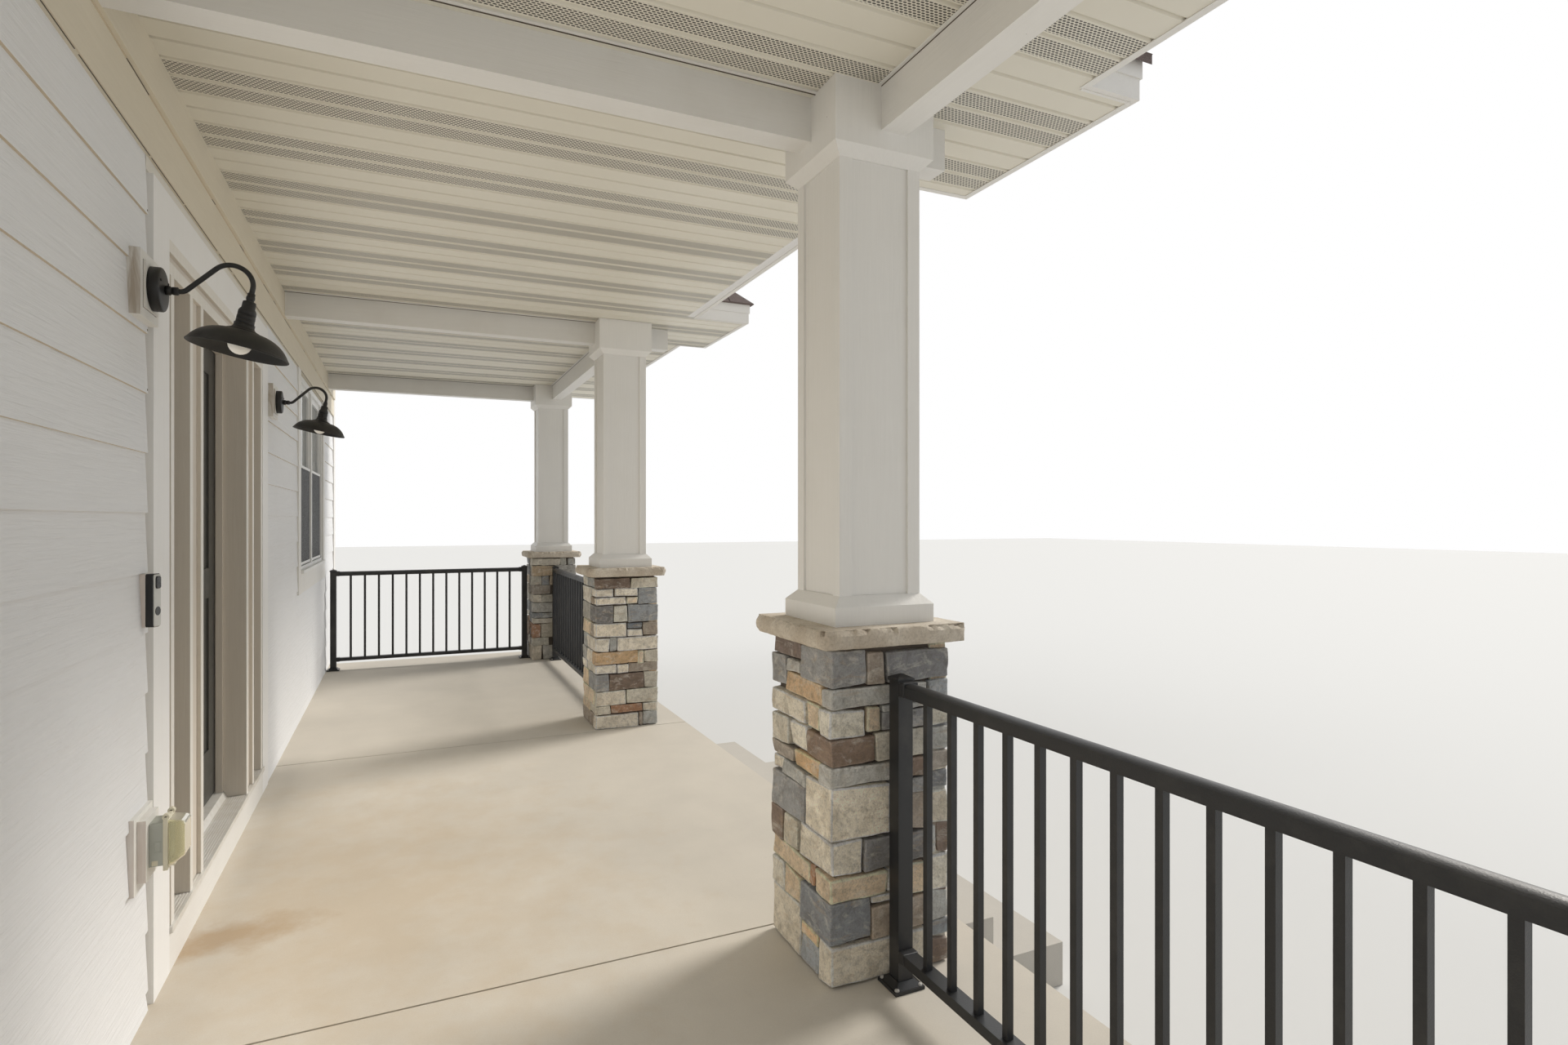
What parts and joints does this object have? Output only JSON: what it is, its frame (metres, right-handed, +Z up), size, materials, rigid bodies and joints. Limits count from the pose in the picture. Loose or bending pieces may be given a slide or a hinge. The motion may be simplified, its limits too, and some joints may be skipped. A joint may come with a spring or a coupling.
{
  "type": "front porch",
  "caption": "Covered house porch on a concrete floor with steps: stone piers, square columns, black railings, flat ceiling, gabled hip roof, and the house wall with its entry.",
  "frame": {"origin": "at ground level, on the centre line of the entry, below the outer face of the house wall", "axes": "+X along the house to the right as seen from the street, -Y to the street, +Z up"},
  "size_m": [11.15, 3.357, 5.2952],
  "materials": {
    "concrete": "broomed, light warm grey",
    "footing": "formed concrete, light grey",
    "siding": "painted cool white, wood grain",
    "trim": "painted warm white, satin",
    "jambs": "painted, satin",
    "ceiling": "painted warm white, matte",
    "stone": "split field stone, rough",
    "cap_stone": "limestone, rock-faced edge",
    "shingles": "mineral granules, dark brown grey",
    "gable_wall": "painted white",
    "sill": "ribbed, dull",
    "door": "dark green-black, satin",
    "black_metal": "satin black",
    "hardware": "matt black",
    "glass": "clear",
    "window_frame": "white, satin",
    "bulb": "frosted",
    "bell": "black, glossy",
    "outlet": "white block, yellowed clear cover"
  },
  "bodies": {
    "porch": {"foundation": "footing", "porch_slab": "concrete", "upper_step": "concrete", "lower_step": "concrete", "wall_left": "siding", "wall_right": "siding", "wall_over_door": "siding", "frieze_boards": "trim", "corner_boards": "trim", "entry_frame": "jambs", "entry_casing": "trim", "entry_sill": "sill", "entry_riser": "trim", "sidelight_sashes": "jambs", "hinge_plates": "hardware", "stone_piers": "stone", "pier_caps": "cap_stone", "column_shafts": "trim", "column_bases": "trim", "column_capitals": "trim", "cross_beams": "trim", "front_beams": "trim", "ceiling_left": "ceiling", "ceiling_mid": "ceiling", "ceiling_right": "ceiling", "fascia_left": "trim", "fascia_right": "trim", "main_roof": "shingles", "gable_roof": "shingles", "gable_face": "gable_wall", "rake_boards": "trim", "return_roofs": "shingles", "rail_front_left": "black_metal", "rail_front_right": "black_metal", "rail_end_left": "black_metal", "rail_end_right": "black_metal", "rail_posts": "black_metal", "window_frames": "window_frame", "window_casings": "trim", "glass_panes": "glass", "mount_blocks": "trim", "light_arms": "black_metal", "light_shades": "black_metal", "light_bulbs": "bulb", "doorbell": "bell", "outlet_cover": "outlet"},
    "door": {"front_door": "door", "door_hardware": "hardware"}
  },
  "joints": [
    {"name": "front_door_hinge", "type": "hinge", "parent": "porch", "child": "door", "pos_m": [0.4345, 0.1473, 1.7], "axis": [0, 0, -1], "range_deg": [0, 95]}
  ]
}
